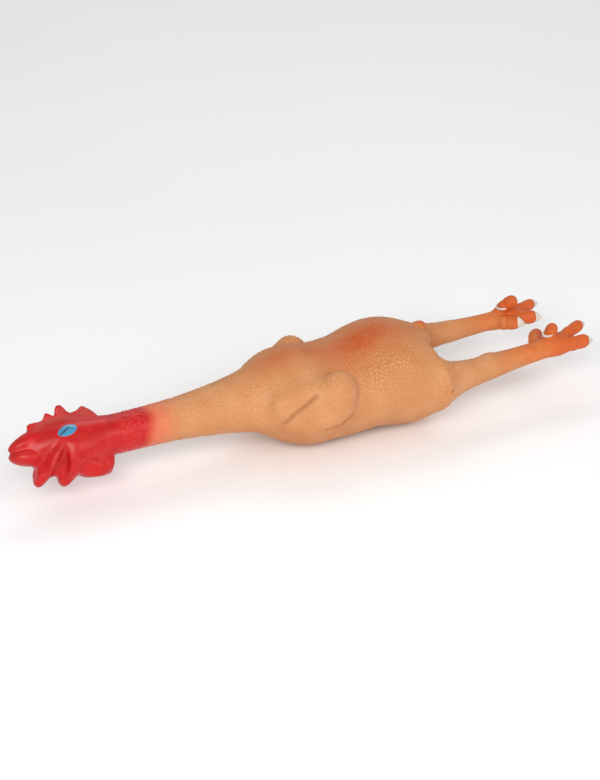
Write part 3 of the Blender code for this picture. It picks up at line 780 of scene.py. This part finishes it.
class Nodes:
    """A material's node tree, built by short calls."""

    def __init__(self, name, roughness, specular=0.5, coat=0.0, coat_roughness=0.1, metallic=0.0):
        self.material = bpy.data.materials.new(name)
        self.material.use_nodes = True
        self.tree = self.material.node_tree
        self.shader = self.tree.nodes["Principled BSDF"]
        for socket, value in (
            ("Roughness", roughness), ("Specular IOR Level", specular), ("Coat Weight", coat),
            ("Coat Roughness", coat_roughness), ("Metallic", metallic),
        ):
            self.shader.inputs[socket].default_value = value
        self.place = self.attribute("rest", "Vector")

    def attribute(self, name, output="Fac"):
        node = self.tree.nodes.new("ShaderNodeAttribute")
        node.attribute_name = name
        return node.outputs[output]

    def local(self):
        """Texture places for a piece that has no rest attribute: its own vertices, which never change."""
        self.place = self.tree.nodes.new("ShaderNodeTexCoord").outputs["Object"]

    def set(self, socket, value):
        if isinstance(value, (int, float)):
            socket.default_value = value
        elif isinstance(value, tuple):
            socket.default_value = (*value, 1.0)
        else:
            self.tree.links.new(value, socket)

    def noise(self, scale, detail=3.0, rough=0.5, distortion=0.0):
        node = self.tree.nodes.new("ShaderNodeTexNoise")
        sockets = {"Scale": scale, "Detail": detail, "Roughness": rough, "Distortion": distortion}
        for socket, value in sockets.items():
            node.inputs[socket].default_value = value
        self.tree.links.new(self.place, node.inputs["Vector"])
        return node.outputs["Fac"]

    def range(self, value, low, high, to_low=0.0, to_high=1.0):
        node = self.tree.nodes.new("ShaderNodeMapRange")
        for i, v in enumerate((value, low, high, to_low, to_high)):
            self.set(node.inputs[i], v)
        return node.outputs["Result"]

    def math(self, operation, a, b):
        node = self.tree.nodes.new("ShaderNodeMath")
        node.operation = operation
        self.set(node.inputs[0], a)
        self.set(node.inputs[1], b)
        return node.outputs[0]

    def times(self, a, b):
        return self.math("MULTIPLY", a, b)

    def plus(self, a, b):
        return self.math("ADD", a, b)

    def mix(self, share, a, b):
        node = self.tree.nodes.new("ShaderNodeMix")
        node.data_type = "RGBA"
        factor, colour_a, colour_b = node.inputs[0], node.inputs[6], node.inputs[7]
        self.set(factor, share)
        self.set(colour_a, a)
        self.set(colour_b, b)
        return node.outputs[2]

    def bump(self, height, strength, distance):
        node = self.tree.nodes.new("ShaderNodeBump")
        node.inputs["Strength"].default_value = strength
        node.inputs["Distance"].default_value = distance
        self.tree.links.new(height, node.inputs["Height"])
        self.tree.links.new(node.outputs["Normal"], self.shader.inputs["Normal"])

    def finish(self, colour, roughness=None):
        self.tree.links.new(colour, self.shader.inputs["Base Color"])
        if roughness is not None:
            self.tree.links.new(roughness, self.shader.inputs["Roughness"])
        return self.material


TAN_LIGHT, TAN_DARK = (0.600, 0.275, 0.115), (0.550, 0.225, 0.082)
# Nodule tips paler and valleys darker: partly the paint's own tone, partly painted light on the tips and
# painted shade in the valleys. The crease brown is painted shade in the wing's creases and the vent.
NODULE_TIP_PALE_AND_LIT, VALLEY_TONE_AND_SHADE, CREASE_SHADE_BROWN = (0.690, 0.350, 0.165), (0.460, 0.160, 0.045), (0.270, 0.085, 0.020)
# The elbow pink is a painted highlight on the wing's elbow.
SPRAY_ORANGE, ELBOW_HIGHLIGHT_PINK = (0.500, 0.085, 0.008), (0.640, 0.290, 0.180)
# The feet's dark is random tone in blotches and painted shade in the grooves between the rings.
FOOT_ORANGE, TOE_ORANGE, FOOT_TONE_AND_GROOVE_SHADE = (0.640, 0.165, 0.034), (0.610, 0.105, 0.014), (0.420, 0.060, 0.008)
RED_LIGHT, RED_DARK = (0.540, 0.006, 0.008), (0.420, 0.003, 0.004)
# The comb's pink is a painted sheen. The neck's pink on the nodule tops is partly its pinker paint, partly
# painted glints.
COMB_SHEEN_PINK, NECK_PINK_AND_GLINT, FADE_SALMON = (0.420, 0.050, 0.045), (0.640, 0.045, 0.050), (0.640, 0.165, 0.075)
CLAW_PALE, CLAW_GREY, CLAW_TIP = (0.720, 0.650, 0.580), (0.560, 0.500, 0.430), (0.34, 0.30, 0.27)
EYE_LIGHT, EYE_DARK, EYE_LINE = (0.060, 0.280, 0.460), (0.035, 0.200, 0.370), (0.008, 0.010, 0.016)
PLASTIC_LIGHT, PLASTIC_DARK = (0.80, 0.80, 0.76), (0.70, 0.70, 0.65)
FILM_LIGHT, FILM_DARK = (0.62, 0.50, 0.20), (0.50, 0.38, 0.12)
FLOOR_LIGHT, FLOOR_DARK = (0.99, 0.99, 0.99), (0.97, 0.97, 0.97)


def make_skin_material():
    n = Nodes("painted_latex", 0.5, specular=0.30)
    broad, fine = n.noise(55.0, 4.0, 0.55), n.noise(700.0, 3.0, 0.6)
    blotch = n.noise(140.0, 4.0, 0.6, 0.4)
    colour = n.mix(n.range(broad, 0.35, 0.65), TAN_LIGHT, TAN_DARK)
    nodule = n.attribute("nodule")
    halo = n.attribute("halo")
    # Paler nodule tips and darker valleys, stronger in the halo: partly the paint's own tone, partly painted
    # light on the tips and painted shade in the valleys.
    tips_pale_and_lit = n.times(n.range(nodule, 0.45, 1.0), n.range(halo, 0.0, 1.0, 0.45, 0.85))
    colour = n.mix(tips_pale_and_lit, colour, NODULE_TIP_PALE_AND_LIT)
    valleys_dark_and_shaded = n.times(n.range(nodule, 0.30, 0.0), n.range(halo, 0.0, 1.0, 0.14, 0.55))
    colour = n.mix(valleys_dark_and_shaded, colour, VALLEY_TONE_AND_SHADE)
    sprayed = n.times(n.attribute("spray"), n.range(blotch, 0.2, 0.8, 0.75, 1.15))
    sprayed = n.times(sprayed, n.range(nodule, 0.4, 1.0, 1.0, 0.72))
    colour = n.mix(sprayed, colour, SPRAY_ORANGE)
    # Painted highlight on the wing's elbow.
    colour = n.mix(n.times(n.attribute("elbow_highlight"), 0.45), colour, ELBOW_HIGHLIGHT_PINK)
    foot = n.mix(n.attribute("toes"), FOOT_ORANGE, TOE_ORANGE)
    # Darker in the grooves between the rings, painted shade; then darker in random blotches.
    foot = n.mix(n.range(n.attribute("ring"), 0.45, 0.15, 0.0, 0.55), foot, FOOT_TONE_AND_GROOVE_SHADE)
    foot = n.mix(n.range(blotch, 0.45, 0.75, 0.0, 0.45), foot, FOOT_TONE_AND_GROOVE_SHADE)
    footed = n.times(n.attribute("foot"), n.range(blotch, 0.2, 0.8, 1.05, 0.85))
    colour = n.mix(footed, colour, foot)
    # Painted shade in the wing's creases and the vent.
    creases_shaded = n.times(n.attribute("crease_shade"), n.range(fine, 0.3, 0.7, 0.50, 0.80))
    colour = n.mix(creases_shaded, colour, CREASE_SHADE_BROWN)
    # The raised parting line gets the nodule tips' paler colour: partly paint tone, partly painted light on
    # the ridge.
    colour = n.mix(n.times(n.attribute("seam"), 0.35), colour, NODULE_TIP_PALE_AND_LIT)
    red = n.mix(n.range(broad, 0.35, 0.7), RED_LIGHT, RED_DARK)
    # Painted sheen on the comb, paler than the red.
    red = n.mix(n.times(n.attribute("comb"), n.range(fine, 0.3, 0.7, 0.5, 0.9)), red, COMB_SHEEN_PINK)
    # Pinker nodule tops on the red: partly the neck's pinker paint, partly painted glints.
    red = n.mix(n.range(nodule, 0.3, 1.0, 0.0, 0.55), red, NECK_PINK_AND_GLINT)
    reddened = n.times(n.attribute("red"), n.range(blotch, 0.2, 0.6, 0.94, 1.0))
    colour = n.mix(n.range(reddened, 0.0, 0.5), colour, FADE_SALMON)
    colour = n.mix(n.range(reddened, 0.5, 1.0), colour, red)
    rough = n.range(n.attribute("red"), 0.0, 1.0, 0.50, 0.36)
    rough = n.plus(rough, n.range(blotch, 0.2, 0.8, -0.05, 0.06))
    rough = n.plus(rough, n.times(n.attribute("comb"), 0.22))
    n.bump(n.plus(fine, n.times(n.noise(2400.0, 2.0), 0.4)), 0.35, 0.00010)
    return n.finish(colour, rough)


def make_claw_material():
    n = Nodes("claw_paint", 0.4, specular=0.45)
    streak, fine = n.noise(260.0, 3.0, 0.55, 0.8), n.noise(1500.0, 2.0)
    colour = n.mix(n.range(streak, 0.4, 0.7), CLAW_PALE, CLAW_GREY)
    colour = n.mix(n.range(n.attribute("tip"), 0.75, 1.0, 0.0, 0.6), colour, CLAW_TIP)
    n.bump(fine, 0.3, 0.0001)
    return n.finish(colour, n.range(fine, 0.3, 0.7, 0.34, 0.48))


def make_eye_material():
    n = Nodes("eye_paint", 0.25, coat=0.3, coat_roughness=0.08)
    fine, broad = n.noise(900.0, 3.0), n.noise(220.0, 3.0)
    colour = n.mix(n.range(broad, 0.3, 0.7), EYE_LIGHT, EYE_DARK)
    colour = n.mix(n.range(n.attribute("rim"), 0.86, 1.0, 0.0, 0.8), colour, EYE_DARK)
    colour = n.mix(n.attribute("line"), colour, EYE_LINE)
    n.bump(fine, 0.15, 0.0001)
    return n.finish(colour, n.range(broad, 0.3, 0.7, 0.20, 0.32))


def make_plastic_material(name, light, dark, metallic=0.0):
    """Moulded plastic, or the reed's film, for the squeaker's CAD nodes."""
    n = Nodes(name, 0.35, metallic=metallic)
    n.local()
    flow, grain = n.noise(90.0, 3.0, 0.5, 1.2), n.noise(1800.0, 2.0)
    colour = n.mix(n.range(flow, 0.3, 0.7), light, dark)
    colour = n.mix(n.range(grain, 0.6, 0.8, 0.0, 0.25), colour, dark)
    n.bump(grain, 0.2, 0.0001)
    return n.finish(colour, n.range(flow, 0.3, 0.7, 0.30, 0.42))


def make_floor_material():
    n = Nodes("pale_floor", 0.8, specular=0.2)
    n.local()
    colour = n.mix(n.range(n.noise(3.0), 0.3, 0.7), FLOOR_LIGHT, FLOOR_DARK)
    return n.finish(colour)


# ---------------------------------------------------------------- small pieces

def grid_object(name, rows, material, masks, closed=False):
    """A smooth skin through rows of points that each close on themselves."""
    count = len(rows[0])
    faces = [
        (r * count + k, r * count + (k + 1) % count, (r + 1) * count + (k + 1) % count, (r + 1) * count + k)
        for r in range(len(rows) - 1)
        for k in range(count)
    ]
    if closed:
        last = (len(rows) - 1) * count
        faces += [tuple(range(count)), tuple(last + k for k in range(count))]
    points = [tuple(p) for row in rows for p in row]
    mesh = bpy.data.meshes.new(name)
    mesh.from_pydata(points, [], faces)
    add_layers(mesh, masks, {"rest": points})
    mesh.materials.append(material)
    work = bmesh.new()
    work.from_mesh(mesh)
    bmesh.ops.recalc_face_normals(work, faces=work.faces)
    work.to_mesh(mesh)
    work.free()
    mesh.shade_smooth()
    return add_object(name, mesh)


def circle(spokes):
    return [2 * math.pi * k / spokes for k in range(spokes)]


def make_eye(side, sign, material):
    """The painted eye: a thin almond that follows the head, with its slanting pupil line."""
    spokes, rings = 40, 12
    rows, rims, lines = [], [], []
    for r in range(rings + 1):
        share = max(r / rings, 0.02)
        angle = np.arange(spokes) * 2 * math.pi / spokes
        u = share * np.cos(angle)
        pointed = 1 - 0.18 * np.abs(np.cos(angle)) ** 3
        v = share * np.sin(angle) * pointed
        a, b = u * EYE_HALF_LENGTH, v * EYE_HALF_HEIGHT
        x = EYE_CENTRE[0] + a * math.cos(EYE_SLANT) - b * math.sin(EYE_SLANT)
        h = EYE_CENTRE[1] + a * math.sin(EYE_SLANT) + b * math.cos(EYE_SLANT)
        y = np.full(spokes, 0.030)
        for _ in range(60):
            y = y - 0.8 * head_field(x, y, h)
        points = np.stack([x, y, h], 1)
        grad = slope_of(head_field, points)
        grad /= np.linalg.norm(grad, axis=1, keepdims=True)
        lift = 0.00045 * (1 - share**4) - 0.00012
        points = points + grad * lift
        points[:, 1] *= sign
        rows.append(tilted(points))
        rims += [share] * spokes
        slit = np.exp(-(((0.56 * (u + 0.41) - v) / 0.09) ** 2))
        slit = slit * smooth(-0.98, -0.88, u) * smooth(0.42, 0.30, u)
        lines += list(np.clip(1.3 * slit, 0, 1))
    made = grid_object(f"eye_paint_{side}", rows, material, {"rim": rims, "line": lines})
    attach(made, "head")
    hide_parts(f"eye_{side}")


def leg_place(local, sign):
    """A place in a leg's own frame, in the row frame."""
    x = np.array([local[0]])
    aside = curve(LEG, x)[1][0]
    lift = float(curl_lift(x, np.array([sign]))[0])
    return Vector((local[0], sign * (aside + local[1]), LEG_Z + lift + local[2]))


def make_claw(toe, side, sign, material):
    _, bend, tip, radius = TOES[sign][toe]
    end = leg_place(tip, sign)
    along = (end - leg_place(bend, sign)).normalized()
    base_r, spokes, rings = radius * 0.80, 20, 10
    down = (-UP - along * (-UP).dot(along)).normalized()
    aside = along.cross(down)
    start = end + along * (radius * 0.45)
    rows, tips = [], []
    for r in range(rings + 1):
        t = r / rings
        size = base_r * (1 - t**1.7) ** 0.9 + 0.00025
        centre = start + along * (CLAW_LENGTH * t) + down * (CLAW_DROOP * t * t)
        rows.append([
            centre + aside * (size * 0.92 * math.cos(a)) + down * (size * math.sin(a))
            for a in circle(spokes)
        ])
        tips += [t] * spokes
    made = grid_object(f"claw_nail_{toe}_{side}", rows, material, {"tip": tips}, closed=True)
    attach(made, f"foot_{side}")
    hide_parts(f"claw_{toe}_{side}")


def make_back_claw(side, sign, material):
    """The thin crescent of claw at the foot of the back toe, which curls down onto the shank."""
    _, bend, _, radius = TOES[sign]["back"]
    reach, spokes, rings = radius + 0.0001, 12, 24
    toe_foot = Vector((bend[0] - 0.0004, bend[1] + 0.0004, BACK_CLAW_H))
    rows, tips = [], []
    for r in range(rings + 1):
        t = 2 * r / rings - 1
        size = 0.0010 * (1 - t * t) ** 0.6 + 0.00006
        way = Vector((-math.cos(1.75 * t), math.sin(1.75 * t), 0))
        centre = toe_foot + way * reach + UP * (0.0010 * t * t)
        rows.append([
            leg_place(centre + way * (0.5 * size * math.cos(a)) + UP * (size * math.sin(a)), sign)
            for a in circle(spokes)
        ])
        tips += [0.6 * abs(t)] * spokes
    made = grid_object(f"claw_nail_back_{side}", rows, material, {"tip": tips}, closed=True)
    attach(made, f"foot_{side}")


# ---------------------------------------------------------------- the bird

def between_x(low, high, sign=None):
    """Takes the faces from low to high, on one side if there is a sign."""
    def keep(centres):
        chosen = (centres[:, 0] > low - 0.002) & (centres[:, 0] < high + 0.002)
        return chosen if sign is None else chosen & (centres[:, 1] * sign > 0)

    return keep


def x_planes(low, high):
    """Planes across x that cut away what is past either end; None is an open end."""
    planes = [((high, 0, 0), (1, 0, 0))] if high is not None else []
    return planes + ([((low, 0, 0), (-1, 0, 0))] if low is not None else [])


def make_bird():
    skin = make_skin_material()
    skins = make_skins()
    slope = (DOME_REAR - DOME_FRONT).normalized()
    dome_up = Vector((-slope.z, 0, slope.x))

    def over_dome_plane(centres):
        return (centres - np.array(DOME_FRONT)) @ np.array(dome_up)

    head = cut_piece(
        "head_skin_look",
        skins["head"],
        between_x(BEAK_X, HEAD_SEAM),
        x_planes(None, HEAD_SEAM + OVERLAP),
        skin,
    )
    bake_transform(head)
    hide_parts("head_flex", "head_skin", "comb", "wattle_front", "wattle_rear", "ear_lobe")

    neck = cut_piece(
        "neck_skin_look", skins["body"], between_x(HEAD_SEAM, NECK_SEAM), x_planes(HEAD_SEAM, NECK_SEAM), skin
    )
    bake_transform(neck)
    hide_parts("neck_upper", "neck_mid_flex", "neck_lower")

    dome_plane = (tuple(DOME_FRONT), tuple(-dome_up))
    dome = cut_piece(
        "back_skin_look",
        skins["body"],
        lambda c: (c[:, 0] > NECK_SEAM) & (over_dome_plane(c) > -0.002),
        [dome_plane],
        skin,
    )
    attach(dome, "torso")
    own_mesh(dome)
    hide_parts("back_wall", "tail_nub")

    torso = cut_piece(
        "torso_skin_look",
        skins["body"],
        lambda c: (c[:, 0] > NECK_SEAM - 0.002) & (over_dome_plane(c) < 0.002),
        [*x_planes(NECK_SEAM, LEG_SEAM + OVERLAP), (tuple(DOME_FRONT), tuple(dome_up))],
        skin,
    )
    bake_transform(torso)
    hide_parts("torso_skin", "wing_left", "wing_right", "neck_root_flex")

    toes = tuple(f"toe_{name}" for name in TOE_NAMES)
    stretches = (
        ("hip", LEG_SEAM, KNEE_SEAM, ("torso", "thigh"), "hip_flex", ("hip_flex", "thigh")),
        ("knee", KNEE_SEAM, ANKLE_SEAM, ("thigh", "shank"), "knee_flex", ("knee_flex", "shank")),
        ("foot", ANKLE_SEAM, None, ("shank", "foot"), "ankle_flex", ("ankle_flex", "foot", *toes)),
    )
    for side, sign in SIDES.items():
        for part, low, high, bodies, joint, nodes in stretches:
            piece = cut_piece(
                f"{part}_skin_look_{side}",
                skins["legs"],
                between_x(low, 1 if high is None else high, sign),
                x_planes(low, high),
                skin,
            )
            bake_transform(piece)
            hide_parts(*(f"{node}_{side}" for node in nodes))

    eye, nail = make_eye_material(), make_claw_material()
    for side, sign in SIDES.items():
        make_eye(side, sign, eye)
        for toe in ("inner", "middle", "outer"):
            make_claw(toe, side, sign, nail)
        make_back_claw(side, sign, nail)

    plastic = make_plastic_material("squeaker_moulding", PLASTIC_LIGHT, PLASTIC_DARK)
    film = make_plastic_material("squeaker_film", FILM_LIGHT, FILM_DARK, metallic=0.8)
    for node in ("squeaker_cup", "squeaker_valve", "reed_clip", "squeaker_reed"):
        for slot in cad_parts[node].material_slots:
            slot.material = film if node == "squeaker_reed" else plastic


# ---------------------------------------------------------------- stage, light and camera

CAMERA_AZIMUTH, CAMERA_ELEVATION, CAMERA_DISTANCE = math.radians(-28), math.radians(28), 1.5
CAMERA_AIM = Vector((-0.0065, 0, 0.0388))
CAMERA_LENS, CAMERA_SENSOR = 95.9, 36
# Area lights: azimuth, elevation, distance, size, watts.
LIGHTS = {
    "key": (-38, 34, 1.6, (0.8, 0.6), 13.5),
    "fill": (25, 30, 1.8, (1.0, 0.8), 8),
    "back": (150, 50, 1.8, (0.8, 0.6), 4),
}
WORLD_STRENGTH = 0.53
FLOOR_HALF, FLOOR_Z = 4.0, -0.0005


def direction(azimuth, elevation):
    return Vector((
        math.sin(azimuth) * math.cos(elevation),
        -math.cos(azimuth) * math.cos(elevation),
        math.sin(elevation),
    ))


def make_light(name, azimuth, elevation, distance, size, watts):
    light = bpy.data.lights.new(name, "AREA")
    light.shape = "RECTANGLE"
    light.size, light.size_y = size
    light.energy = watts
    made = add_object(name, light)
    way = direction(math.radians(azimuth), math.radians(elevation))
    made.location = way * distance
    made.rotation_euler = way.to_track_quat("Z", "Y").to_euler()


def make_stage():
    corners = [(FLOOR_HALF * a, FLOOR_HALF * b, 0) for a, b in ((-1, -1), (1, -1), (1, 1), (-1, 1))]
    mesh = bpy.data.meshes.new("floor")
    mesh.from_pydata(corners, [], [(0, 1, 2, 3)])
    mesh.materials.append(make_floor_material())
    floor = add_object("floor", mesh)
    floor.location.z = FLOOR_Z

    world = bpy.data.worlds.new("studio")
    world.use_nodes = True
    background = world.node_tree.nodes["Background"]
    background.inputs["Color"].default_value = (1, 1, 1, 1)
    background.inputs["Strength"].default_value = WORLD_STRENGTH
    bpy.context.scene.world = world
    for name, settings in LIGHTS.items():
        make_light(name, *settings)

    camera = add_object("camera", bpy.data.cameras.new("camera"))
    camera.data.lens = CAMERA_LENS
    camera.data.sensor_width = CAMERA_SENSOR
    way = direction(CAMERA_AZIMUTH, CAMERA_ELEVATION)
    camera.location = CAMERA_AIM + way * CAMERA_DISTANCE
    camera.rotation_euler = way.to_track_quat("Z", "Y").to_euler()
    bpy.context.scene.camera = camera
    bpy.context.scene.view_settings.view_transform = "Standard"


make_bird()
make_stage()
